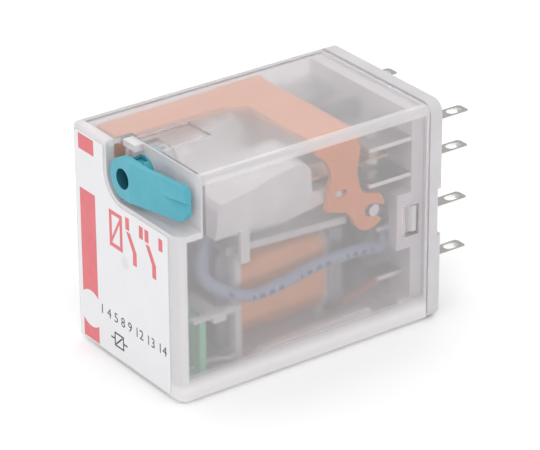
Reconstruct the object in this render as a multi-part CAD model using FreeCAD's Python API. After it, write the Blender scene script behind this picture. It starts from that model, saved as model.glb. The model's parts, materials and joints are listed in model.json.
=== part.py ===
import FreeCAD, Part
import math
import os

# Two-pole plug-in relay, lying on its side with its blades pointing along +X.
# X runs from the label face (x = 0) to the tips of the plug blades, Y across the
# two poles, Z up. Millimetres. Every shape is moved by shift_x as it is written,
# so that the origin is under the middle of the whole relay.

# Driving dimensions
body_length = 36.2        # label face to the outer face of the base
body_width = 21.2         # across the base flange, along Y
body_height = 27.5        # across the base flange, along Z
blade_reach = 6.3         # plug blades past the base
flange_thick = 1.8
cover_width = 20.8
cover_z0 = 0.25
cover_z1 = 27.2
cover_wall = 0.9
label_thick = 0.1
pocket_depth = 3.05       # finger pocket for the test lever
pocket_side_y = 3.5
blade_width = 1.9
blade_thick = 0.5
blade_drop = 0.3          # the blades sit this much below their inner bars
blade_y = 6.6             # centre of each blade column
row_z = {"nc": 23.6, "no": 19.2, "com": 12.6, "coil": 6.3}     # inner bars
coil_z = 9.3              # axis of the coil and its core
lever_y = 0.4             # axis of the test lever and plunger
lever_z = 23.8
hinge_x = 8.6             # rounded edge of the yoke on which the armature rocks
hinge_z = 15.8
armature_slope = 0.052    # the armature falls towards the pole at rest
rocker_x = 27.1           # axle of the orange rocker
rocker_z = 16.15
contact_x = 28.6
com_lead_radius = 0.72    # over its insulation
led_y = 7.4
led_z = 4.9
spring_z = 21.6           # underside of the moving contact springs
spring_thick = 0.25

# Worked-out places
base_x = body_length - flange_thick      # where the cover meets the flange
tip_x = body_length + blade_reach
shift_x = -tip_x / 2
half_cover = cover_width / 2
inner_y = half_cover - cover_wall
inner_z0 = cover_z0 + cover_wall
inner_z1 = cover_z1 - cover_wall
front_x = label_thick                    # outer face of the cover, under the label
plate_x = base_x - 2.1                   # inner face of the base plate
V = FreeCAD.Vector


# Small shape helpers

def box(x0, x1, y0, y1, z0, z1):
    return Part.makeBox(x1 - x0, y1 - y0, z1 - z0, V(x0, y0, z0))


def rod_x(radius, x0, x1, y, z):
    return Part.makeCylinder(radius, x1 - x0, V(x0, y, z), V(1, 0, 0))


def rod_y(radius, y0, y1, x, z):
    return Part.makeCylinder(radius, y1 - y0, V(x, y0, z), V(0, 1, 0))


def rod_z(radius, z0, z1, x, y):
    return Part.makeCylinder(radius, z1 - z0, V(x, y, z0), V(0, 0, 1))


def prism(points, push):
    closed = points + [points[0]]
    return Part.Face(Part.makePolygon(closed)).extrude(push)


def side_plate(outline, y0, y1):
    """A plate seen from the side: outline of (x, z) pairs, from y0 to y1."""
    return prism([V(x, y0, z) for x, z in outline], V(0, y1 - y0, 0))


def front_plate(outline, x0, x1):
    """A plate seen from the label end: outline of (y, z) pairs, from x0 to x1."""
    return prism([V(x0, y, z) for y, z in outline], V(x1 - x0, 0, 0))


def flat_plate(outline, z0, z1):
    """A plate seen from above: outline of (x, y) pairs, from z0 to z1."""
    return prism([V(x, y, z0) for x, y in outline], V(0, 0, z1 - z0))


def fuse(*shapes):
    return shapes[0].multiFuse(list(shapes[1:])).removeSplitter()


def other_side(shape):
    """The same piece for the other pole."""
    return shape.mirror(V(0, 0, 0), V(0, 1, 0))


def both_sides(shape):
    return fuse(shape, other_side(shape))


def edges_along(shape, direction, keep=lambda centre: True):
    """Straight edges along one direction whose centre passes a test."""
    found = []
    for edge in shape.Edges:
        ends = edge.Vertexes
        if len(ends) != 2 or edge.Curve.TypeId != "Part::GeomLine":
            continue
        run = ends[1].Point.sub(ends[0].Point)
        along = abs(run.dot(direction)) > 0.999 * run.Length
        if along and keep(edge.CenterOfMass):
            found.append(edge)
    return found


def tube(name, points, radius):
    """A wire along straight runs joined by tangent arcs, with its radii printed."""
    points = [V(*p) for p in points]
    edges = []
    radii = []
    start = points[0]
    for before, corner, after in zip(points, points[1:], points[2:]):
        to_start = before.sub(corner).normalize()
        to_end = after.sub(corner).normalize()
        turn = math.pi - to_start.getAngle(to_end)
        run = min(before.distanceToPoint(corner), corner.distanceToPoint(after))
        bend = 0.45 * run / math.tan(turn / 2)
        arc_start = corner.add(to_start * (0.45 * run))
        arc_end = corner.add(to_end * (0.45 * run))
        middle = to_start.add(to_end).normalize()
        sag = bend / math.cos(turn / 2) - bend
        edges.append(Part.LineSegment(start, arc_start).toShape())
        edges.append(Part.Arc(arc_start, corner.add(middle * sag), arc_end).toShape())
        radii.append(round(bend, 2))
        start = arc_end
    edges.append(Part.LineSegment(start, points[-1]).toShape())
    path = Part.Wire(edges)
    heading = points[1].sub(points[0])
    section = Part.Wire(Part.Circle(points[0], heading, radius).toShape())
    solid = path.makePipeShell([section], True, True)
    expected = math.pi * radius ** 2 * path.Length
    print(name, "bend radii", radii, "length", round(path.Length, 2),
          "volume ratio", round(solid.Volume / expected, 3))
    return solid


def save(node, shape):
    shape = shape.copy()
    shape.translate(V(shift_x, 0, 0))
    if not shape.isValid() or len(shape.Solids) != 1:
        print("CHECK", node, "valid", shape.isValid(), "solids", len(shape.Solids))
    shape.exportStep(f"parts/{node}.step")


# Housing

def pocket_outline(grow):
    """The test lever's pocket in the label face, grown by its wall: (y, z) edges."""
    top = cover_z1 + 1.0
    side = pocket_side_y + grow
    foot = 20.75 - grow
    far = -half_cover - 1.0
    bend = side - lever_y
    corner = V(0, lever_y + bend * math.cos(math.pi / 4), lever_z - bend * math.sin(math.pi / 4))
    low = lever_z - bend
    edges = [
        Part.LineSegment(V(0, far, top), V(0, side, top)),
        Part.LineSegment(V(0, side, top), V(0, side, lever_z)),
        Part.Arc(V(0, side, lever_z), corner, V(0, lever_y, low)),
        Part.LineSegment(V(0, lever_y, low), V(0, -1.5, foot)),
        Part.LineSegment(V(0, -1.5, foot), V(0, far, foot)),
        Part.LineSegment(V(0, far, foot), V(0, far, top)),
    ]
    return Part.Face(Part.Wire([edge.toShape() for edge in edges]))


def cover():
    shell = box(front_x, base_x - 0.05, -half_cover, half_cover, cover_z0, cover_z1)
    near = edges_along(shell, V(0, 0, 1), lambda c: c.x < 1 and c.y < 0)
    far = edges_along(shell, V(0, 0, 1), lambda c: c.x < 1 and c.y > 0)
    shell = shell.makeFillet(1.4, near).makeFillet(0.6, far)
    ends = edges_along(shell, V(0, 1, 0), lambda c: c.x < 1)
    long_edges = edges_along(shell, V(1, 0, 0))
    shell = shell.makeFillet(0.55, ends + long_edges)
    pocket = pocket_outline(0).extrude(V(pocket_depth + 1, 0, 0))
    pocket.translate(V(front_x - 1, 0, 0))
    housing = pocket_outline(0.8).extrude(V(pocket_depth + 1 + cover_wall, 0, 0))
    housing.translate(V(front_x - 1, 0, 0))
    hollow = box(front_x + cover_wall, base_x + 1, -inner_y, inner_y, inner_z0, inner_z1)
    hollow = hollow.cut(housing)
    floor_x = front_x + pocket_depth
    guide = rod_x(2.9, floor_x, floor_x + 2.6, lever_y, lever_z)
    guide = guide.common(box(0, 20, -10, 10, 0, inner_z1))
    pip = box(2.05, floor_x + 0.2, 0.6, pocket_side_y + 0.1, 26.4, cover_z1 - 0.05)
    shell = fuse(shell.cut(pocket).cut(hollow), guide, pip)
    shell = shell.cut(rod_x(2.05, floor_x - 1, floor_x + 4, lever_y, lever_z))
    lens = box(3.4, 10.4, -2.0, 2.5, cover_z1 - 0.25, cover_z1 + 1)
    window = box(31.1, 33.0, inner_y - 1, half_cover + 1, 11.8, 15.6)
    return shell.cut(lens).cut(both_sides(window))


def label():
    sheet = box(0, label_thick, -8.4, 9.7, 0.9, cover_z1 - 0.65)
    sheet = sheet.makeFillet(0.5, edges_along(sheet, V(1, 0, 0)))
    pocket = pocket_outline(0.55).extrude(V(2, 0, 0))
    pocket.translate(V(-1, 0, 0))
    return sheet.cut(pocket)


def base():
    flange = box(base_x, body_length, -body_width / 2, body_width / 2, 0, body_height)
    flange = flange.makeFillet(1.6, edges_along(flange, V(1, 0, 0)))
    rim = [e for e in flange.Edges if e.CenterOfMass.x > body_length - 0.01]
    flange = flange.makeFillet(0.35, rim)
    notch = box(body_length - 0.6, body_length + 1, 8.4, 12, 10.85, 16.7)
    flange = flange.cut(both_sides(notch))
    plate = box(plate_x, base_x, -9.4, 9.4, inner_z0 + 0.1, inner_z1 - 0.1)
    step = box(plate_x - 1.8, plate_x, -9.4, 9.4, inner_z0 + 0.1, 3.6)
    tray = box(10.9, plate_x, -9.4, 9.4, inner_z0 + 0.1, inner_z0 + 0.8)
    cheek = side_plate([(10.9, 1.3), (26.9, 1.3), (26.9, 3.6), (26.2, 4.15),
                        (11.6, 3.5), (10.9, 2.9)], 8.6, 9.4)
    pad = box(plate_x - 2.0, plate_x, 7.9, 9.4, 10.0, 17.0)
    tab = flat_plate([(31.4, 9.3), (32.85, 9.3), (32.85, 10.15), (32.3, 10.15)], 12.1, 15.3)
    body = fuse(plate, flange, step, tray, both_sides(fuse(cheek, pad, tab)))
    for row in row_z:
        slot = fuse(set_down(row), plug_blade(row))
        body = body.cut(slot).cut(other_side(slot))
    return body


# Contacts. Pieces are drawn for the pole on the -Y side and mirrored for the other.

def set_down(row):
    """The short step inside the base plate from an inner bar down to its blade."""
    z = row_z[row]
    half = blade_width / 2
    return box(plate_x, plate_x + 0.6, -blade_y - half, -blade_y + half,
               z - blade_drop - blade_thick / 2, z + blade_thick / 2)


def plug_blade(row):
    z = row_z[row] - blade_drop
    low_y = -blade_y - blade_width / 2
    high_y = -blade_y + blade_width / 2
    cut = 0.3
    return flat_plate([(plate_x, low_y), (tip_x - cut, low_y), (tip_x, low_y + cut),
                       (tip_x, high_y - cut), (tip_x - cut, high_y), (plate_x, high_y)],
                      z - blade_thick / 2, z + blade_thick / 2)


def terminal(row, inner_x, inner_y0, inner_y1):
    """An inner bar and its plug blade in one piece, with a soldering eye."""
    z = row_z[row]
    bar = box(inner_x, plate_x, inner_y0, inner_y1, z - blade_thick / 2, z + blade_thick / 2)
    bar = bar.makeFillet(0.4, edges_along(bar, V(0, 0, 1), lambda c: c.x < inner_x + 1))
    eye_r = 0.6
    eye_x0 = tip_x - 1.95
    eye_x1 = tip_x - 1.15
    eye = fuse(rod_z(eye_r, 0, 30, eye_x0, -blade_y), rod_z(eye_r, 0, 30, eye_x1, -blade_y),
               box(eye_x0, eye_x1, -blade_y - eye_r, -blade_y + eye_r, 0, 30))
    return fuse(bar, set_down(row), plug_blade(row)).cut(eye)


def fixed_contact(row):
    """A riveted contact on an inner bar, its face towards the moving spring."""
    z = row_z[row]
    towards = -1 if row == "nc" else 1
    half = blade_thick / 2
    steps = [(1.0, half, half + 0.7), (0.5, -half, half), (0.75, -half - 0.2, -half)]
    parts = []
    for radius, low, high in steps:
        ends = sorted([z + towards * low, z + towards * high])
        parts.append(rod_z(radius, ends[0], ends[1], contact_x, -blade_y))
    return fuse(*parts)


def contact_bar(row):
    bar = terminal(row, 26.4, -9.3, -3.9)
    return bar.cut(rod_z(0.5, 0, 30, contact_x, -blade_y))


def spring_profile(y0, y1):
    """The spring from the side: a tail under the carrier, a riser and the long leaf."""
    low = 18.1
    t = spring_thick
    return side_plate([(6.2, low), (9.2, low), (12.6, spring_z), (30.2, spring_z),
                       (30.2, spring_z + t), (12.5, spring_z + t), (9.1, low + t),
                       (6.2, low + t)], y0, y1)


def moving_spring():
    blank = flat_plate([(6.2, -7.6), (12.0, -7.6), (13.0, -8.2), (26.0, -8.2), (27.0, -7.9),
                        (30.2, -7.9), (30.2, -5.3), (27.0, -5.3), (26.0, -5.0), (13.0, -5.0),
                        (12.0, -5.6), (6.2, -5.6)], 17, 23)
    leaf = spring_profile(-8.2, -5.0).common(blank)
    return leaf.cut(rod_z(0.45, 0, 30, contact_x, -blade_y))


def moving_contact():
    low = spring_z - 0.8
    high = spring_z + spring_thick + 0.75
    head = rod_z(0.95, low, spring_z, contact_x, -blade_y)
    shank = rod_z(0.45, low, high, contact_x, -blade_y)
    top = rod_z(0.95, spring_z + spring_thick, high, contact_x, -blade_y)
    return fuse(head, shank, top)


# Magnet

def bobbin():
    """Coil former with two ears beside the armature and a ledge towards the label end."""
    flange = box(9.0, 9.8, -7.8, 7.8, inner_z0 + 0.35, 15.2)
    notch = box(8.9, 9.9, 7.3, 8.0, 9.0, 11.6)
    link = box(9.0, 9.8, 7.0, 9.4, 14.9, 15.5)
    ear = box(8.7, 9.9, 8.95, 9.4, 14.9, 18.9)
    barrel = rod_x(3.3, 9.0, 22.3, 0, coil_z)
    end = box(22.0, 22.35, -6.9, 6.9, coil_z - 5.4, coil_z + 5.1)
    end = end.makeFillet(2.0, edges_along(end, V(1, 0, 0)))
    foot = box(22.0, 22.35, 4.2, 6.0, 2.4, coil_z - 5.0)
    rail = box(2.6, 6.9, 8.3, 9.1, 9.2, 9.6)
    bar = box(5.2, 6.9, -9.1, 9.1, 8.5, 9.2)
    tongue = box(5.2, 6.9, -1.2, 1.2, 9.2, 9.5)
    arm = box(6.9, 9.0, 6.9, 7.7, 8.2, 9.1)
    body = fuse(flange, barrel, end, bar, tongue,
                both_sides(fuse(link, ear)), both_sides(fuse(rail, arm)), both_sides(foot))
    return body.cut(rod_x(2.65, 0, 40, 0, coil_z)).cut(both_sides(notch))


def winding():
    coil = box(9.8, 22.0, -7.2, 7.2, coil_z - 5.6, coil_z + 5.2)
    coil = coil.makeFillet(3.2, edges_along(coil, V(1, 0, 0)))
    return coil.cut(rod_x(3.3, 0, 40, 0, coil_z))


def core():
    return fuse(rod_x(2.6, 9.0, 22.4, 0, coil_z), rod_x(1.8, 7.2, 24.5, 0, coil_z))


def yoke():
    """The limb behind the coil; the armature rocks on its rounded upper edge."""
    limb = side_plate([(7.4, 3.4), (9.0, 3.4), (9.0, 15.6), (8.4, 15.6), (7.4, 14.9)], -6.6, 6.6)
    rib = box(8.4, 8.8, -6.6, 6.6, 15.5, hinge_z)
    edge = rod_y(0.2, -6.6, 6.6, hinge_x, hinge_z)
    return fuse(limb, rib, edge).cut(rod_x(1.8, 0, 40, 0, coil_z))


def pole_plate():
    plate = box(22.4, 24.2, -7.2, 7.2, 3.9, 14.4)
    plate = plate.makeFillet(0.5, edges_along(plate, V(1, 0, 0)))
    return plate.cut(rod_x(1.8, 0, 40, 0, coil_z))


armature_thick = 0.9


def armature_under(x):
    return hinge_z - (x - hinge_x) * armature_slope


def armature():
    outline = flat_plate([(7.6, -8.2), (24.0, -8.2), (24.0, 8.2), (7.6, 8.2), (7.6, 3.0),
                          (5.0, 2.2), (5.0, -2.2), (7.6, -3.0)], 10, 20)
    under, over = armature_under(5.0), armature_under(24.0)
    plate = side_plate([(5.0, under), (24.0, over), (24.0, over + armature_thick),
                        (5.0, under + armature_thick)], -9, 9)
    groove = rod_y(0.26, -6.9, 6.9, hinge_x, hinge_z)
    return plate.common(outline).cut(rod_z(0.45, 0, 30, 6.1, 0)).cut(groove)


def contact_carrier():
    """White moulding on the armature that holds both moving springs."""
    block = side_plate([(5.7, 18.5), (6.1, 21.8), (6.5, 22.6), (10.7, 23.2), (13.0, 23.9),
                        (16.6, 24.5), (17.9, 24.3), (18.6, 23.4), (18.8, 20.4), (16.4, 20.0),
                        (10.6, 18.5)], -8.9, 8.9)
    channel = side_plate([(8.6, 20.4), (20, 20.4), (20, 26), (8.6, 26)], -3.4, 3.4)
    lug = side_plate([(6.3, 22.0), (8.6, 22.0), (8.6, 24.6), (7.2, 24.9), (6.3, 24.4)], -1.7, 1.7)
    feet = side_plate([(9.6, armature_under(9.6) + armature_thick),
                       (17.4, armature_under(17.4) + armature_thick),
                       (17.4, 18.9), (9.6, 18.9)], -6.4, 6.4)
    arm = side_plate([(11.0, 17.9), (16.0, 17.8), (23.0, 18.8), (23.2, 19.2), (23.2, 19.9),
                      (22.9, 20.2), (17.0, 20.4), (11.0, 19.8)], 7.0, 8.3)
    peg = rod_y(0.42, 8.2, 9.15, 22.3, 19.5)
    slit = spring_profile(-8.2, -5.0)
    body = fuse(block.cut(channel), lug, feet, both_sides(fuse(arm, peg)))
    return body.cut(both_sides(slit))


# Orange rocker that follows the armature and carries the flag seen at the label end

def rocker():
    cheek = side_plate([(18.9, 26.0), (24.9, 26.0), (25.1, 24.1), (24.8, 22.5), (24.8, 20.9),
                        (25.1, 19.6), (25.5, 18.8), (26.6, 18.4), (26.4, 16.2), (24.4, 15.2),
                        (23.9, 16.2), (23.3, 16.9), (20.4, 17.8), (20.7, 19.5), (21.2, 21.6),
                        (20.9, 23.0), (20.2, 24.2), (18.9, 25.2)], 8.6, 9.3)
    ring = rod_y(2.25, 8.6, 9.3, 26.4, 16.2)
    horn = fuse(rod_y(0.75, 8.6, 9.3, 27.6, 17.3), box(26.0, 27.6, 8.6, 9.3, 16.6, 18.05))
    snap = fuse(rod_y(0.8, 8, 10, rocker_x, rocker_z), rod_y(0.8, 8, 10, 26.6, 16.3))
    mouth = side_plate([(27.1, 15.6), (27.6, 15.3), (29.0, 14.2), (29.6, 16.5), (27.1, 16.7)],
                       8, 10)
    slot = fuse(rod_y(0.5, 8, 10, 22.2, 19.5), rod_y(0.5, 8, 10, 22.85, 19.5),
                box(22.2, 22.85, 8, 10, 19.0, 20.0))
    side = fuse(cheek, ring, horn).cut(mouth).cut(snap).cut(slot)
    bridge = flat_plate([(19.0, -9.3), (24.8, -9.3), (24.8, 9.3), (19.0, 9.3)], 25.2, 26.0)
    flag = flat_plate([(2.4, 4.5), (16.0, 4.5), (19.7, 2.6), (19.7, 9.0), (2.4, 8.9)], 25.3, 26.0)
    lip = box(2.4, 3.1, 4.5, 8.9, 23.5, 25.4)
    return fuse(both_sides(side), bridge, flag, lip)


def rocker_axle():
    return rod_y(0.72, -9.35, 9.35, rocker_x, rocker_z)


def contact_barrier():
    """Dark insulating wall between the two poles; the rocker's axle runs through it."""
    wall = side_plate([(24.7, 1.95), (plate_x - 1.8, 1.95), (plate_x - 1.8, 3.6), (plate_x, 3.6),
                       (plate_x, 24.4), (27.2, 24.4), (27.2, 17.9), (24.7, 17.9)], -0.6, 0.6)
    hub = rod_y(1.6, -2.2, 2.2, rocker_x, rocker_z)
    return fuse(wall, hub).cut(rod_y(0.72, -10, 10, rocker_x, rocker_z))


# Indicator board

lead_holes = [(-7.6, 3.1), (7.6, 3.1), (-3.4, 6.6), (1.4, 6.6), (-3.2, 3.4), (1.0, 3.4)]


def led_board():
    board = box(3.3, 4.1, -9.1, 9.1, inner_z0 + 0.25, 9.15)
    holes = [rod_x(0.35, 3, 5, y, z) for y, z in lead_holes]
    return board.cut(fuse(*holes))


def led():
    dome = Part.makeSphere(1.2, V(2.4, led_y, led_z))
    body = fuse(dome, rod_x(1.2, 2.4, 3.1, led_y, led_z), rod_x(1.5, 2.9, 3.3, led_y, led_z))
    return body.common(box(0, 3.3, -12, 12, 0, 12))


def lead_part(name, radius, y0, y1, z):
    """A component on the back of the board: its body and its wire bent into two legs."""
    x = 4.1 + radius + 0.3
    body = rod_y(radius, y0 + 0.8, y1 - 0.8, x, z)
    legs = [(3.15, y0, z), (x, y0, z), (x, y1, z), (3.15, y1, z)]
    return fuse(body, tube(name, legs, 0.22))


# Wires and springs

com_route = [
    (6.9, -6.0, 17.55),
    (6.0, -5.8, 15.5),
    (5.3, -6.6, 12.9),
    (7.6, -8.0, 11.2),
    (10.6, -8.4, 9.9),
    (14.5, -8.4, 10.15),
    (20.0, -8.4, 11.25),
    (24.6, -8.4, 11.25),
    (27.5, -8.0, 10.8),
    (29.3, -7.4, 10.1),
    (30.3, -6.9, 10.9),
    (30.4, -6.6, 12.05),
]
coil_route = [
    (22.4, -5.0, 3.1),
    (24.6, -4.4, 2.8),
    (27.4, -5.2, 3.3),
    (29.8, -6.6, 5.7),
]
board_route = [
    (4.1, -7.6, 3.1),
    (5.9, -7.7, 3.4),
    (7.6, -7.9, 2.9),
    (8.95, -8.0, 3.0),
]


def plunger():
    """Collar behind the lever's hub: press the hub and its nose pushes the carrier."""
    collar = rod_x(1.95, 2.3, 4.9, lever_y, lever_z)
    nose = Part.makeCone(1.3, 0.9, 0.6, V(4.9, lever_y, lever_z), V(1, 0, 0))
    socket = rod_x(1.6, 2, 3.6, lever_y, lever_z)
    slot = box(2.2, 3.0, lever_y - 0.9, lever_y + 0.6, lever_z + 1.2, lever_z + 3)
    return fuse(collar, nose).cut(socket).cut(slot)


def fingernail_notch():
    """A wedge that widens and deepens from its point to the lever's tip."""
    point = V(0.85, -5.6, 24.1)
    corners = [V(1.4, -11, 21.6), V(1.4, -11, 24.65), V(2.55, -11, 24.0)]
    base_face = Part.Face(Part.makePolygon(corners + corners[:1]))
    sides = [Part.Face(Part.makePolygon([point, a, b, point]))
             for a, b in zip(corners, corners[1:] + corners[:1])]
    return Part.Solid(Part.Shell([base_face] + sides))


def test_lever():
    """Hub with a deep screwdriver hole, and a bar that slopes back to its tip."""
    hub_r = 2.45
    front = 0.15
    fold_y = -0.95
    tip_y = -9.6
    bottom, top = V(0, lever_y, lever_z - hub_r), V(0, lever_y, lever_z + hub_r)
    round_end = Part.Arc(bottom, V(0, lever_y + hub_r, lever_z), top).toShape()
    sides = [V(0, -8.8, 26.1), V(0, -9.4, 25.75), V(0, tip_y, 25.2), V(0, tip_y, 22.9),
             V(0, -9.4, 22.3), V(0, -8.9, 21.85)]
    straight = Part.makePolygon([top] + sides + [bottom])
    outline = Part.Face(Part.Wire([round_end] + straight.Edges))
    slope = flat_plate([(front, 4), (front, fold_y), (1.55, tip_y), (2.4, tip_y),
                        (1.25, -3.4), (1.25, 4)], 20, 28)
    blade = outline.extrude(V(3, 0, 0)).common(slope)
    journal = rod_x(1.55, 1.2, 3.5, lever_y, lever_z)
    hole = rod_x(1.2, 0, 3.1, lever_y, lever_z)
    return fuse(blade, journal).cut(hole).cut(fingernail_notch())


def return_spring():
    outer = rod_z(0.9, 9.5, hinge_z, 6.1, 0)
    return outer.cut(rod_z(0.6, 0, 30, 6.1, 0))


# One file for each piece

os.makedirs("parts", exist_ok=True)
save("cover", cover())
save("label", label())
save("base", base())
pole_pieces = {
    "nc_terminal": contact_bar("nc"),
    "no_terminal": contact_bar("no"),
    "com_terminal": terminal("com", 28.6, -7.9, -5.3),
    "coil_terminal": terminal("coil", 28.8, -7.9, -5.3),
    "nc_contact": fixed_contact("nc"),
    "no_contact": fixed_contact("no"),
    "moving_spring": moving_spring(),
    "moving_contact": moving_contact(),
    "com_lead": tube("com_lead", com_route, com_lead_radius),
    "coil_lead": tube("coil_lead", coil_route, 0.3),
    "board_lead": tube("board_lead", board_route, 0.3),
}
for name, piece in pole_pieces.items():
    save(name + "_a", piece)
    save(name + "_b", other_side(piece))
save("bobbin", bobbin())
save("winding", winding())
save("core", core())
save("yoke", yoke())
save("pole_plate", pole_plate())
save("armature", armature())
save("contact_carrier", contact_carrier())
save("return_spring", return_spring())
save("rocker", rocker())
save("rocker_axle", rocker_axle())
save("contact_barrier", contact_barrier())
save("led_board", led_board())
save("led", led())
save("resistor", lead_part("resistor", 0.75, -3.4, 1.4, 6.6))
save("diode", lead_part("diode", 0.6, -3.2, 1.0, 3.4))
save("test_plunger", plunger())
save("test_lever", test_lever())
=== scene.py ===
import json
import math

import bmesh
import bpy
from mathutils import Matrix, Vector


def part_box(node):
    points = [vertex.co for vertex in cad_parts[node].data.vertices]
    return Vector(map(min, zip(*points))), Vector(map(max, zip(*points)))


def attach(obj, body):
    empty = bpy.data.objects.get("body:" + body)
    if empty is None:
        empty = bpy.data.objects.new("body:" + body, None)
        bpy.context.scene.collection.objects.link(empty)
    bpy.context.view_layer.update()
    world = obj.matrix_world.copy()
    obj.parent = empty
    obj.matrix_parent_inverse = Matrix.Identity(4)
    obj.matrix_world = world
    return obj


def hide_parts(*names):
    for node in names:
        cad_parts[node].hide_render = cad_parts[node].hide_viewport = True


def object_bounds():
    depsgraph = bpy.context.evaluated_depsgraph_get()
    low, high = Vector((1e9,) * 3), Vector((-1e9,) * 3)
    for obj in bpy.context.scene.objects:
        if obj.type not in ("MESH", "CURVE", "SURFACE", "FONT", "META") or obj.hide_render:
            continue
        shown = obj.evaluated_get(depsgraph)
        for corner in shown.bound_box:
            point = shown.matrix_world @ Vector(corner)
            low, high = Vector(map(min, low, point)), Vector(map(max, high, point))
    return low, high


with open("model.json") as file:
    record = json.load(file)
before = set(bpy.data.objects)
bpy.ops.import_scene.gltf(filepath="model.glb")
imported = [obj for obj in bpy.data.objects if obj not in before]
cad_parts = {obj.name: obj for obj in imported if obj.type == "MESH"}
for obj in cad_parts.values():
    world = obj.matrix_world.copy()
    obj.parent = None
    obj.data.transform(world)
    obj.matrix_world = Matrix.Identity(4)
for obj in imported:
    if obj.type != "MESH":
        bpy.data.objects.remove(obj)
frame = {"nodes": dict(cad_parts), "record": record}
cad_low, cad_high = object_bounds()

MM = 0.001
FRONT_X = cad_low.x                      # the label face
COVER_MIDDLE_Z = 13.725 * MM
LEVER_AXIS = (0.4, 23.8)                 # y and z of the test lever's hub, in millimetres
COIL_AXIS_Z = 9.3 * MM
nodes = frame["nodes"]


def at(x, y, z):
    """A point given in millimetres from the label face, the middle plane and the floor."""
    return Vector((FRONT_X + x * MM, y * MM, z * MM))


# Materials

class Shader:
    """A node material built from one Principled shader and its inputs."""

    def __init__(self, name):
        self.material = bpy.data.materials.new(name)
        self.material.use_nodes = True
        self.tree = self.material.node_tree
        self.bsdf = self.tree.nodes["Principled BSDF"]
        self.coords = self.add("ShaderNodeTexCoord").outputs["Object"]

    def add(self, kind, **settings):
        node = self.tree.nodes.new(kind)
        for key, value in settings.items():
            setattr(node, key, value)
        return node

    def link(self, source, target):
        self.tree.links.new(source, target)

    def set(self, **values):
        for key, value in values.items():
            self.bsdf.inputs[key.replace("_", " ")].default_value = value

    def split(self, vector):
        parts = self.add("ShaderNodeSeparateXYZ")
        self.link(vector, parts.inputs[0])
        return [parts.outputs[axis] for axis in "XYZ"]

    def split_normal(self):
        return self.split(self.add("ShaderNodeTexCoord").outputs["Normal"])

    def squared_distance(self, y_mm, z_mm):
        """Squared distance in metres from a line along X."""
        _, y, z = self.split(self.coords)
        across = self.math("SUBTRACT", y, y_mm * MM)
        along = self.math("SUBTRACT", z, z_mm * MM)
        return self.math("ADD", self.math("MULTIPLY", across, across),
                         self.math("MULTIPLY", along, along))

    def fade(self, value, start, end, low=0.0, high=1.0):
        """A soft step from low to high as the value goes from start to end."""
        step = self.add("ShaderNodeMapRange", interpolation_type="SMOOTHSTEP")
        self.link(value, step.inputs["Value"])
        for name, setting in (("From Min", start), ("From Max", end),
                              ("To Min", low), ("To Max", high)):
            step.inputs[name].default_value = setting
        return step.outputs["Result"]

    def stretched(self, scale):
        mapping = self.add("ShaderNodeMapping")
        mapping.inputs["Scale"].default_value = scale
        self.link(self.coords, mapping.inputs["Vector"])
        return mapping.outputs["Vector"]

    def noise(self, size_mm, detail=3.0, stretch=(1, 1, 1)):
        """Noise with features of about size_mm, longer along the axes with a small stretch."""
        per_metre = 1.0 / (size_mm * MM)
        texture = self.add("ShaderNodeTexNoise")
        texture.inputs["Scale"].default_value = 1.0
        texture.inputs["Detail"].default_value = detail
        self.link(self.stretched([per_metre * s for s in stretch]), texture.inputs["Vector"])
        return texture.outputs["Fac"]

    def ramp(self, value, low, high):
        scale = self.add("ShaderNodeMapRange")
        self.link(value, scale.inputs["Value"])
        scale.inputs["From Min"].default_value = 0.3
        scale.inputs["From Max"].default_value = 0.7
        scale.inputs["To Min"].default_value = low
        scale.inputs["To Max"].default_value = high
        return scale.outputs["Result"]

    def blend(self, factor, first, second):
        mix = self.add("ShaderNodeMix", data_type="RGBA")
        self.link(factor, mix.inputs["Factor"])
        for socket, colour in ((mix.inputs[6], first), (mix.inputs[7], second)):
            if hasattr(colour, "is_linked"):
                self.link(colour, socket)
            else:
                socket.default_value = (*colour, 1)
        return mix.outputs[2]

    def math(self, operation, first, second=0.0):
        node = self.add("ShaderNodeMath", operation=operation)
        for socket, value in zip(node.inputs, (first, second)):
            if hasattr(value, "is_linked"):
                self.link(value, socket)
            else:
                socket.default_value = value
        return node.outputs[0]

    def bump(self, height, strength, depth_mm):
        node = self.add("ShaderNodeBump")
        node.inputs["Strength"].default_value = strength
        node.inputs["Distance"].default_value = depth_mm * MM
        self.link(height, node.inputs["Height"])
        self.link(node.outputs["Normal"], self.bsdf.inputs["Normal"])


def moulded(name, colour, rough=0.45, vary=0.06, grain_mm=0.08, bump=0.25, subsurface=0.0):
    """Moulded plastic: faint flow shading, a fine grain and uneven gloss."""
    s = Shader(name)
    darker = [c * (1 - vary) for c in colour]
    lighter = [min(1, c * (1 + vary)) for c in colour]
    flow = s.noise(3.0, 2.0)
    s.link(s.blend(s.ramp(flow, 0, 1), darker, lighter), s.bsdf.inputs["Base Color"])
    s.link(s.ramp(s.noise(0.6), rough - 0.07, rough + 0.08), s.bsdf.inputs["Roughness"])
    s.bump(s.noise(grain_mm, 4.0), bump, 0.02)
    if subsurface:
        s.set(Subsurface_Weight=subsurface, Subsurface_Scale=0.0008)
    return s.material


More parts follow.
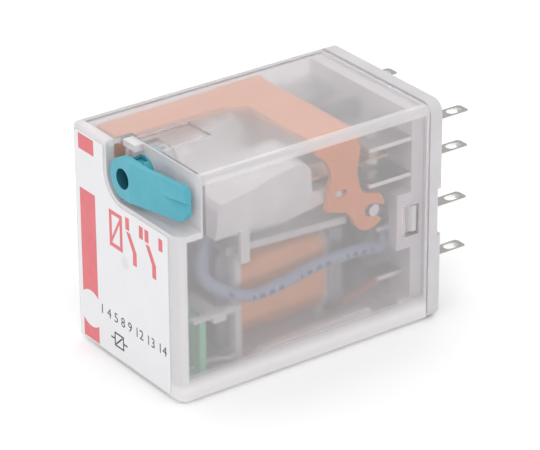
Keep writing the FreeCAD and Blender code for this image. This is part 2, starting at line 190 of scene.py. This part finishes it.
def metal(name, colour, rough=0.3, along=(0.08, 1, 1), line_mm=0.06, tarnish=0.12, up_down_sheen=None):
    """Sheet metal with fine drawing lines and patchy tarnish; the optional second colour is painted
    light, a brighter colour on the faces turned up or down.
    """
    s = Shader(name)
    s.set(Metallic=1.0)
    dull = [c * (1 - tarnish) for c in colour]
    faces = s.blend(s.ramp(s.noise(0.9, 4.0), 0, 1), colour, dull)
    if up_down_sheen:
        # painted light: faces turned up or down take the brighter colour, so they stand lighter than
        # the sides
        faces_up_or_down = s.math("GREATER_THAN", s.math("ABSOLUTE", s.split_normal()[2]), 0.6)
        faces = s.blend(faces_up_or_down, up_down_sheen, faces)
    s.link(faces, s.bsdf.inputs["Base Color"])
    lines = s.noise(line_mm, 2.0, along)
    s.link(s.ramp(lines, rough - 0.08, rough + 0.12), s.bsdf.inputs["Roughness"])
    s.bump(lines, 0.25, 0.01)
    return s.material


def cover_material():
    """Milky polycarbonate with one polished window; its corners and pocket look whiter, and its
    floor is painted whiter as painted light from the ground below.
    """
    s = Shader("frosted_polycarbonate")
    s.set(Base_Color=(0.91, 0.885, 0.90, 1), IOR=1.5)
    x, y, z = s.split(s.coords)

    def beyond(value, edge_mm, soft_mm=0.2):
        """0 to 1 as a value in metres passes an edge; a negative softness turns it round."""
        return s.fade(value, (edge_mm - soft_mm / 2) * MM, (edge_mm + soft_mm / 2) * MM)

    def product(*factors):
        total = factors[0]
        for factor in factors[1:]:
            total = s.math("MULTIPLY", total, factor)
        return total

    front = FRONT_X / MM
    window = product(beyond(x, front + 3.5, 0.02), beyond(x, front + 10.3, -0.02),
                     beyond(y, -1.9, 0.02), beyond(y, 2.4, -0.02), beyond(z, 26.0, 0.02))
    # the outer skin is a little glossier than the inside of the walls
    wide = s.math("ABSOLUTE", y)
    off_middle = s.math("ABSOLUTE", s.math("SUBTRACT", z, COVER_MIDDLE_Z))
    skin_mask = s.math("MAXIMUM", beyond(wide, 10.0), beyond(off_middle, 13.1))
    frost = s.ramp(s.noise(1.5, 2.0), 0.22, 0.27)
    clearness = s.math("MAXIMUM", s.math("MULTIPLY", skin_mask, 0.3), window)
    s.link(s.math("MULTIPLY", frost, s.math("SUBTRACT", 1.0, clearness)),
           s.bsdf.inputs["Roughness"])

    front_wall = beyond(x, front + 1.2, -0.2)
    rim = beyond(x, front + 33.9)
    walls = s.math("ADD", beyond(wide, 9.35), beyond(off_middle, 12.45))
    walls = s.math("ADD", walls, s.math("ADD", front_wall, rim))
    corner = s.math("MINIMUM", s.math("MAXIMUM", s.math("SUBTRACT", walls, 1.0), 0.0), 1.0)
    pocket = product(beyond(x, front + 3.3, -0.2), beyond(y, 3.0, -0.2), beyond(z, 20.0))
    # painted light: the floor of the cover is made more solid and so whiter, standing in for the
    # light from the white ground below it
    floor = beyond(z, 2.9, -2.4)
    solid = s.math("MULTIPLY", corner, 0.3)
    for part, strength in ((pocket, 0.45), (front_wall, 0.45), (floor, 0.6)):
        solid = s.math("MAXIMUM", solid, s.math("MULTIPLY", part, strength))
    s.link(s.math("SUBTRACT", 0.84, solid), s.bsdf.inputs["Transmission Weight"])

    shadow = s.add("ShaderNodeLightPath")
    clear = s.add("ShaderNodeBsdfTransparent")
    clear.inputs["Color"].default_value = (0.92, 0.91, 0.92, 1)
    mix = s.add("ShaderNodeMixShader")
    out = s.tree.nodes["Material Output"]
    s.link(shadow.outputs["Is Shadow Ray"], mix.inputs[0])
    s.link(s.bsdf.outputs[0], mix.inputs[1])
    s.link(clear.outputs[0], mix.inputs[2])
    s.link(mix.outputs[0], out.inputs["Surface"])
    return s.material


def label_material():
    """Satin printed film; the faint moulded hollow near its middle is painted shade, a darker round
    on the film.
    """
    s = Shader("label_film")
    # painted shade: a darker round where the moulded hollow lies
    painted_dimple_shade = s.fade(s.squared_distance(0.1, 13.7), (0.2 * MM) ** 2, (1.0 * MM) ** 2, 0.4, 0.0)
    film = s.blend(s.ramp(s.noise(3.0, 2.0), 0, 1), (0.75, 0.75, 0.77), (0.77, 0.77, 0.79))
    s.link(s.blend(painted_dimple_shade, film, (0.55, 0.56, 0.60)), s.bsdf.inputs["Base Color"])
    s.link(s.ramp(s.noise(0.6), 0.35, 0.5), s.bsdf.inputs["Roughness"])
    s.bump(s.noise(0.15, 4.0), 0.12, 0.02)
    return s.material


def base_material():
    """The base plug: greyish outside, paler on the moulding inside the cover, where the paler colour
    is painted light standing in for the brighter light inside the cover.
    """
    s = Shader("base_plastic")
    x, y, _ = s.split(s.coords)
    inside = s.math("LESS_THAN", x, at(34.35, 0, 0).x)
    not_latch = s.math("LESS_THAN", s.math("ABSOLUTE", y), 9.45 * MM)
    inside = s.math("MULTIPLY", inside, not_latch)
    flow = s.ramp(s.noise(3.0, 2.0), 0, 1)
    outer = s.blend(flow, (0.555, 0.54, 0.555), (0.60, 0.585, 0.60))
    # painted light: a paler copy of the same plastic for the moulding inside the cover
    painted_bright_inside = s.blend(flow, (0.88, 0.865, 0.88), (0.93, 0.915, 0.93))
    s.link(s.blend(inside, outer, painted_bright_inside), s.bsdf.inputs["Base Color"])
    s.link(s.ramp(s.noise(0.6), 0.33, 0.48), s.bsdf.inputs["Roughness"])
    s.bump(s.noise(0.08, 4.0), 0.25, 0.02)
    s.set(Subsurface_Weight=0.1, Subsurface_Scale=0.0008)
    return s.material


def lever_material():
    """Blue-green moulding, with painted shade: darker down in the screwdriver hole of the hub."""
    s = Shader("lever_plastic")
    # painted shade: the colour goes dark inside the screwdriver hole
    hole_shade = s.math("LESS_THAN", s.squared_distance(*LEVER_AXIS), (1.22 * MM) ** 2)
    flow = s.blend(s.ramp(s.noise(3.0, 2.0), 0, 1), (0.066, 0.36, 0.45), (0.075, 0.40, 0.49))
    s.link(s.blend(hole_shade, flow, (0.008, 0.11, 0.15)), s.bsdf.inputs["Base Color"])
    s.link(s.ramp(s.noise(0.6), 0.31, 0.46), s.bsdf.inputs["Roughness"])
    s.bump(s.noise(0.08, 4.0), 0.25, 0.02)
    return s.material


def enamel_material():
    """Enamelled copper wire."""
    s = Shader("enamelled_copper")
    s.set(Metallic=0.55, Coat_Weight=0.4, Coat_Roughness=0.2)
    s.link(s.blend(s.ramp(s.noise(0.8, 3.0), 0, 1), (0.86, 0.34, 0.12), (0.95, 0.45, 0.18)),
           s.bsdf.inputs["Base Color"])
    s.link(s.ramp(s.noise(0.3), 0.28, 0.42), s.bsdf.inputs["Roughness"])
    s.bump(s.noise(0.05, 2.0, (1, 0.1, 0.1)), 0.2, 0.01)
    return s.material


def insulation_material():
    """Blue insulation with a broken row of plain dashes along its outer side."""
    s = Shader("lead_insulation")
    x = s.split(s.coords)[0]
    outer_side = s.math("GREATER_THAN", s.math("ABSOLUTE", s.split_normal()[1]), 0.93)
    beat = s.math("FRACT", s.math("DIVIDE", x, 1.3 * MM))
    gap = s.math("FRACT", s.math("DIVIDE", x, 6.5 * MM))
    dash = s.math("MULTIPLY", s.math("GREATER_THAN", beat, 0.45), s.math("GREATER_THAN", gap, 0.35))
    flow = s.blend(s.ramp(s.noise(3.0, 2.0), 0, 1), (0.32, 0.39, 0.55), (0.36, 0.43, 0.59))
    ink = s.math("MULTIPLY", dash, outer_side)
    s.link(s.blend(ink, flow, (0.10, 0.13, 0.30)), s.bsdf.inputs["Base Color"])
    s.link(s.ramp(s.noise(0.6), 0.43, 0.58), s.bsdf.inputs["Roughness"])
    s.bump(s.noise(0.08, 4.0), 0.2, 0.02)
    return s.material


def board_material():
    """Green solder resist over faint copper tracks."""
    s = Shader("solder_resist")
    tracks = s.add("ShaderNodeTexBrick")
    tracks.inputs["Scale"].default_value = 220
    tracks.inputs["Mortar Size"].default_value = 0.06
    tracks.inputs["Color1"].default_value = (0.16, 0.60, 0.32, 1)
    tracks.inputs["Color2"].default_value = (0.18, 0.66, 0.36, 1)
    tracks.inputs["Mortar"].default_value = (0.25, 0.72, 0.42, 1)
    s.link(s.stretched((1, 1, 1)), tracks.inputs["Vector"])
    s.link(tracks.outputs["Color"], s.bsdf.inputs["Base Color"])
    s.link(s.ramp(s.noise(0.5), 0.25, 0.4), s.bsdf.inputs["Roughness"])
    s.bump(s.noise(0.2), 0.2, 0.02)
    return s.material


def led_material():
    s = Shader("led_resin")
    s.set(Transmission_Weight=0.7, IOR=1.5)
    s.link(s.blend(s.ramp(s.noise(0.6), 0, 1), (0.80, 0.95, 0.82), (0.92, 0.98, 0.93)),
           s.bsdf.inputs["Base Color"])
    s.link(s.ramp(s.noise(0.4), 0.08, 0.18), s.bsdf.inputs["Roughness"])
    s.bump(s.noise(0.3), 0.1, 0.01)
    return s.material


def paint_nodes():
    """Every CAD node gets the material of its slot."""
    looks = {
        "cover_polycarbonate": cover_material(),
        "label_film": label_material(),
        "base_plastic": base_material(),
        # tinned brass: the darker sides and the brighter faces turned up or down are painted light
        # and shade
        "tinned_brass": metal("tinned_brass", (0.42, 0.415, 0.40), 0.3, up_down_sheen=(0.93, 0.92, 0.90)),
        "silver_alloy": metal("silver_alloy", (0.75, 0.74, 0.72), 0.2),
        "spring_bronze": metal("spring_bronze", (0.84, 0.62, 0.42), 0.25),
        "lead_insulation": insulation_material(),
        "enamelled_wire": enamel_material(),
        "board_wire": metal("board_wire", (0.80, 0.80, 0.78), 0.3),
        "bobbin_plastic": moulded("bobbin_plastic", (0.90, 0.90, 0.885), 0.4, subsurface=0.1),
        "magnet_steel": metal("magnet_steel", (0.36, 0.36, 0.38), 0.38, (1, 0.1, 1)),
        "plated_steel": metal("plated_steel", (0.78, 0.77, 0.78), 0.4, (1, 0.1, 1)),
        "carrier_plastic": moulded("carrier_plastic", (0.92, 0.92, 0.92), 0.4, subsurface=0.1),
        "spring_steel": metal("spring_steel", (0.6, 0.6, 0.62), 0.25),
        "rocker_plastic": moulded("rocker_plastic", (0.98, 0.33, 0.07), 0.42, 0.05),
        "axle_steel": metal("axle_steel", (0.80, 0.80, 0.82), 0.22, (1, 0.1, 1)),
        # painted shade: the contact barrier is near black, a dark sheet standing in for the shadowed
        # space beside the coil and between the contact bars
        "barrier_plastic": moulded("barrier_plastic", (0.06, 0.055, 0.065), 0.4),
        "circuit_board": board_material(),
        "led_resin": led_material(),
        "resistor_body": moulded("resistor_body", (0.62, 0.50, 0.34), 0.35),
        "diode_body": moulded("diode_body", (0.03, 0.03, 0.035), 0.25),
        "lever_plastic": lever_material(),
    }
    for row in frame["record"]["subparts"]:
        shown = nodes[row["node"]]
        shown.data.materials.clear()
        shown.data.materials.append(looks[row["material_slot"]])
    return looks


looks = paint_nodes()


def soften_edges():
    """Rounds the sharp edges of the moulded and stamped pieces."""
    widths = {"test_lever": 0.14, "test_plunger": 0.1, "contact_carrier": 0.15, "rocker": 0.1,
              "bobbin": 0.1, "armature": 0.08, "contact_barrier": 0.1, "base": 0.08}
    for row in nodes:
        if "terminal" in row:
            widths[row] = 0.05
    for name, width in widths.items():
        shown = nodes[name]
        weld = shown.modifiers.new("weld", "WELD")
        weld.merge_threshold = 0.002 * MM
        bevel = shown.modifiers.new("soft edges", "BEVEL")
        bevel.width = width * MM
        bevel.segments = 2
        bevel.limit_method = "ANGLE"
        bevel.angle_limit = math.radians(40)
        bevel.use_clamp_overlap = True


soften_edges()


# Pieces built here

def piece(name, bm, slot, body="housing", material=None, replaces=(), smooth=True):
    """Turns a bmesh into a piece that rides on a body and takes a slot's finish."""
    bmesh.ops.recalc_face_normals(bm, faces=bm.faces)
    mesh = bpy.data.meshes.new(name)
    bm.to_mesh(mesh)
    bm.free()
    obj = bpy.data.objects.new(name, mesh)
    bpy.context.scene.collection.objects.link(obj)
    mesh.materials.append(material or looks[slot])
    for face in mesh.polygons:
        face.use_smooth = smooth
    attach(obj, body)
    if replaces:
        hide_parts(*replaces)
    return obj


def skin(bm, rings, closed=False):
    """Joins rings of points, equal in number, into one skin, with flat ends unless closed."""
    rows = [[bm.verts.new(p) for p in ring] for ring in rings]
    pairs = list(zip(rows, rows[1:]))
    if closed:
        pairs.append((rows[-1], rows[0]))
    for a, b in pairs:
        for i in range(len(a)):
            j = (i + 1) % len(a)
            bm.faces.new((a[i], a[j], b[j], b[i]))
    if not closed:
        bm.faces.new(rows[0])
        bm.faces.new(rows[-1][::-1])


def round_wire(bm, points, radius, sides=10):
    """A round wire along a list of points."""
    points = [Vector(p) for p in points]
    side = None
    rings = []
    for i, p in enumerate(points):
        heading = (points[min(i + 1, len(points) - 1)] - points[max(i - 1, 0)]).normalized()
        side = heading.orthogonal() if side is None else side - heading * side.dot(heading)
        side.normalize()
        other = heading.cross(side)
        rings.append([p + radius * (side * math.cos(t) + other * math.sin(t))
                      for t in (2 * math.pi * k / sides for k in range(sides))])
    skin(bm, rings)


def rounded_rectangle(half_y, half_z, corner, count):
    """Points round a rectangle with round corners, evenly spread by angle steps."""
    points = []
    per_corner = count // 4
    for k, (sy, sz) in enumerate(((1, 1), (-1, 1), (-1, -1), (1, -1))):
        for i in range(per_corner):
            t = math.pi / 2 * (k + i / (per_corner - 1))
            points.append((sy * (half_y - corner) + corner * math.cos(t),
                           sz * (half_z - corner) + corner * math.sin(t)))
    return points


def winding():
    """The coil, wound turn beside turn, with its core hole."""
    low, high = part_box("winding")
    centre = (low + high) / 2
    turns, steps, count = 44, 6, 96
    ridge = 0.07 * MM
    half_y, half_z = (high.y - low.y) / 2, (high.z - low.z) / 2
    bore = 3.32 * MM
    rings = []
    for i in range(turns * steps + 1):
        share = i / (turns * steps)
        round_off = 0.25 * MM * (abs(2 * share - 1) ** 12)
        sink = ridge * (0.5 - 0.5 * math.cos(2 * math.pi * i / steps)) + round_off
        x = low.x + (high.x - low.x) * share
        ring = rounded_rectangle(half_y - sink, half_z - sink, 3.2 * MM, count)
        rings.append([Vector((x, centre.y + y, centre.z + z)) for y, z in ring])
    hole = []
    for x in (high.x, low.x):
        ring = []
        for y, z in rounded_rectangle(half_y, half_z, 3.2 * MM, count):
            away = Vector((0, y, z)).normalized() * bore
            ring.append(Vector((x, centre.y, COIL_AXIS_Z)) + away)
        hole.append(ring)
    bm = bmesh.new()
    skin(bm, rings + hole, closed=True)
    piece("coil_winding", bm, "enamelled_wire", replaces=["winding"])


def return_spring():
    """Close-wound tension spring with a hook at each end."""
    low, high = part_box("return_spring")
    centre = (low + high) / 2
    wire = 0.14 * MM
    radius = (high.x - low.x) / 2 - wire
    bottom, top = low.z + 1.0 * MM, high.z - 0.9 * MM
    turns, steps = 11, 20
    points = [Vector((centre.x, centre.y, low.z + 0.1 * MM))]
    points.append(Vector((centre.x, centre.y, bottom - 0.4 * MM)))
    for i in range(turns * steps + 1):
        t = 2 * math.pi * i / steps
        z = bottom + (top - bottom) * i / (turns * steps)
        points.append(Vector((centre.x + radius * math.cos(t), centre.y + radius * math.sin(t), z)))
    points.append(Vector((centre.x, centre.y, top + 0.4 * MM)))
    points.append(Vector((centre.x, centre.y, high.z - 0.05 * MM)))
    bm = bmesh.new()
    round_wire(bm, points, wire)
    piece("tension_spring", bm, "spring_steel", replaces=["return_spring"])


# Print on the label

def ink_shape(bm, outline):
    """A flat patch of ink on the label face from an outline of (y, z) points in millimetres."""
    back = [bm.verts.new(at(0.004, y, z)) for y, z in outline]
    face = [bm.verts.new(at(-0.012, y, z)) for y, z in outline]
    bm.faces.new(back)
    bm.faces.new(face[::-1])
    for i in range(len(outline)):
        j = (i + 1) % len(outline)
        bm.faces.new((back[i], face[i], face[j], back[j]))


def stroke(bm, start, end, width):
    """A straight stroke of ink with square ends."""
    (y0, z0), (y1, z1) = start, end
    length = math.hypot(y1 - y0, z1 - z0)
    ny, nz = -(z1 - z0) / length * width / 2, (y1 - y0) / length * width / 2
    ink_shape(bm, [(y0 + ny, z0 + nz), (y1 + ny, z1 + nz), (y1 - ny, z1 - nz), (y0 - ny, z0 - nz)])


def arc_points(centre, radius, start, end, steps=16):
    y, z = centre
    angles = [math.radians(start + (end - start) * i / steps) for i in range(steps + 1)]
    return [(y + radius * math.cos(a), z + radius * math.sin(a)) for a in angles]


def label_print():
    left, right = 9.0, 5.9
    lamp_y, lamp_z, clear_r = 7.4, 4.9, 2.3
    bm = bmesh.new()
    ink_shape(bm, [(left, 24.45), (left, 26.35), (right, 26.35), (right, 24.45)])
    to_left = math.degrees(math.acos((left - lamp_y) / clear_r))
    to_right = math.degrees(math.acos((right - lamp_y) / clear_r))
    ink_shape(bm, [(left, 19.65)] + arc_points((lamp_y, lamp_z), clear_r, to_left, to_right)
              + [(right, 19.65)])
    ink_shape(bm, [(left, 0.95)] + arc_points((lamp_y, lamp_z), clear_r, -to_left, -to_right)
              + [(right, 0.95)])
    # coil symbol: a box with a slanting stroke, drawn without overlapping strokes
    for start, end in (((3.1, 19.0), (0.5, 19.0)), ((3.1, 15.0), (0.5, 15.0)),
                       ((2.85, 18.75), (2.85, 15.25)), ((0.75, 18.75), (0.75, 15.25))):
        stroke(bm, start, end, 0.5)
    ink_shape(bm, [(2.6, 15.25), (2.6, 15.95), (1.0, 18.75), (1.0, 18.05)])
    # two changeover contacts: two fixed ends, and a blade leaning from its stem to one of them
    for y in (-1.9, -5.7):
        for side in (y + 1.35, y - 1.35):
            stroke(bm, (side, 19.5), (side, 18.0), 0.75)
        ink_shape(bm, [(y + 0.37, 14.1), (y + 0.37, 15.6), (y + 1.6, 17.75), (y + 0.85, 17.75),
                       (y - 0.37, 15.75), (y - 0.37, 14.1)])
    piece("label_red_print", bm, "label_film", material=looks["red ink"], smooth=False)

    bm = bmesh.new()
    stroke(bm, (2.6, 3.9), (2.6, 2.3), 0.2)
    stroke(bm, (0.9, 3.9), (0.9, 2.3), 0.2)
    for start, end in (((2.7, 3.9), (0.8, 3.9)), ((2.7, 2.3), (0.8, 2.3)),
                       ((2.4, 2.5), (1.1, 3.7)), ((3.4, 3.1), (2.6, 3.1)), ((0.9, 3.1), (0.1, 3.1))):
        stroke(bm, start, end, 0.2)
    piece("label_coil_symbol", bm, "label_film", material=looks["dark ink"], smooth=False)
    lettering("1 4 5 8 9 12 13 14", at(-0.004, 5.5, 5.3), 1.23, "label_pin_numbers", LABEL_FACING,
              "label_film", "dark ink")


LABEL_FACING = Matrix(((0, 0, -1), (-1, 0, 0), (0, 1, 0)))
BASE_FACING = Matrix(((0, 0, 1), (1, 0, 0), (0, 1, 0)))


def lettering(words, place, height, name, facing, slot, ink=None):
    """Plain figures as a thin mesh, standing on a face that looks along -X or +X."""
    curve = bpy.data.curves.new(name, "FONT")
    curve.body = words
    curve.size = height * 1.38 * MM
    curve.extrude = 0.008 * MM
    curve.space_character = 1.05
    source = bpy.data.objects.new(name + "_outline", curve)
    bpy.context.scene.collection.objects.link(source)
    bpy.context.view_layer.update()
    mesh = bpy.data.meshes.new_from_object(source)
    bpy.data.objects.remove(source)
    mesh.transform(Matrix.Translation(place) @ facing.to_4x4())
    mesh.name = name
    bm = bmesh.new()
    bm.from_mesh(mesh)
    bpy.data.meshes.remove(mesh)
    piece(name, bm, slot, material=ink and looks[ink], smooth=False)


def pin_numbers():
    """Moulded figures beside the plug blades on the outer face of the base."""
    rows = ((23.3, "1", "4"), (18.9, "5", "8"), (12.3, "9", "12"), (6.0, "13", "14"))
    for z, near, far in rows:
        for word, y in ((near, -4.9), (far, 3.4 if len(far) == 1 else 2.9)):
            lettering(word, at(36.215, y, z - 0.7), 1.4, "pin_number_" + word, BASE_FACING,
                      "base_plastic")


def solder_joints():
    """Small domes of solder on the front of the indicator board."""
    bm = bmesh.new()
    for y, z in ((-7.6, 3.1), (7.6, 3.1), (-3.4, 6.6), (1.4, 6.6), (-3.2, 3.4), (1.0, 3.4)):
        turn = Matrix.Translation(at(3.28, y, z)) @ Matrix.Diagonal((0.8, 1.0, 1.0, 1.0))
        bmesh.ops.create_uvsphere(bm, u_segments=12, v_segments=8, radius=0.38 * MM, matrix=turn)
    piece("solder_joints", bm, "tinned_brass")


looks["red ink"] = moulded("red_ink", (0.70, 0.15, 0.17), 0.4, 0.04, 0.1, 0.1)
looks["dark ink"] = moulded("dark_ink", (0.05, 0.05, 0.055), 0.45, 0.1, 0.1, 0.1)
winding()
return_spring()
label_print()
pin_numbers()
solder_joints()


# Floor, light and camera

def stage():
    bpy.ops.mesh.primitive_plane_add(size=6.0, location=(0, 0, 0))
    floor = bpy.context.object
    floor.name = "floor"
    s = Shader("floor_paper")
    s.link(s.blend(s.ramp(s.noise(40), 0, 1), (0.98, 0.98, 0.98), (1.0, 1.0, 1.0)),
           s.bsdf.inputs["Base Color"])
    s.set(Roughness=0.7)
    floor.data.materials.append(s.material)


def softbox(name, place, target, size, power):
    data = bpy.data.lights.new(name, "AREA")
    data.shape = "RECTANGLE"
    data.size, data.size_y = size
    data.energy = power
    lamp = bpy.data.objects.new(name, data)
    bpy.context.scene.collection.objects.link(lamp)
    lamp.location = place
    lamp.rotation_mode = "QUATERNION"
    lamp.rotation_quaternion = (target - Vector(place)).to_track_quat("-Z", "Y")


def lights():
    world = bpy.data.worlds.new("studio")
    world.use_nodes = True
    world.node_tree.nodes["Background"].inputs["Color"].default_value = (1, 1, 1, 1)
    world.node_tree.nodes["Background"].inputs["Strength"].default_value = 0.95
    bpy.context.scene.world = world
    middle = Vector((0, 0, 0.014))
    softbox("key", (-0.25, -0.3, 0.4), middle, (0.35, 0.35), 0.4)
    softbox("overhead", (0.05, 0.1, 0.6), middle, (0.4, 0.4), 0.5)


AZIMUTH = math.radians(-35.73)
ELEVATION = math.radians(26.42)
ROLL = math.radians(-0.34)
LENS_MM = 208.4
DISTANCE = 354.65 * MM


def camera():
    a, e = AZIMUTH, ELEVATION
    back = Vector((math.sin(a) * math.cos(e), -math.cos(a) * math.cos(e), math.sin(e)))
    right = Vector((math.cos(a), math.sin(a), 0))
    up = back.cross(right)
    aim = at(17.8, 0, 13.75) + right * 1.53 * MM - up * 0.55 * MM
    data = bpy.data.cameras.new("camera")
    data.lens = LENS_MM
    data.sensor_width = 36.0
    data.clip_start = 0.01
    cam = bpy.data.objects.new("camera", data)
    bpy.context.scene.collection.objects.link(cam)
    cam.location = aim + back * DISTANCE
    turn = Matrix((right, up, back)).transposed().to_4x4()
    cam.matrix_world = Matrix.Translation(cam.location) @ turn @ Matrix.Rotation(ROLL, 4, "Z")
    bpy.context.scene.camera = cam


stage()
lights()
camera()
bpy.context.scene.view_settings.view_transform = "Standard"
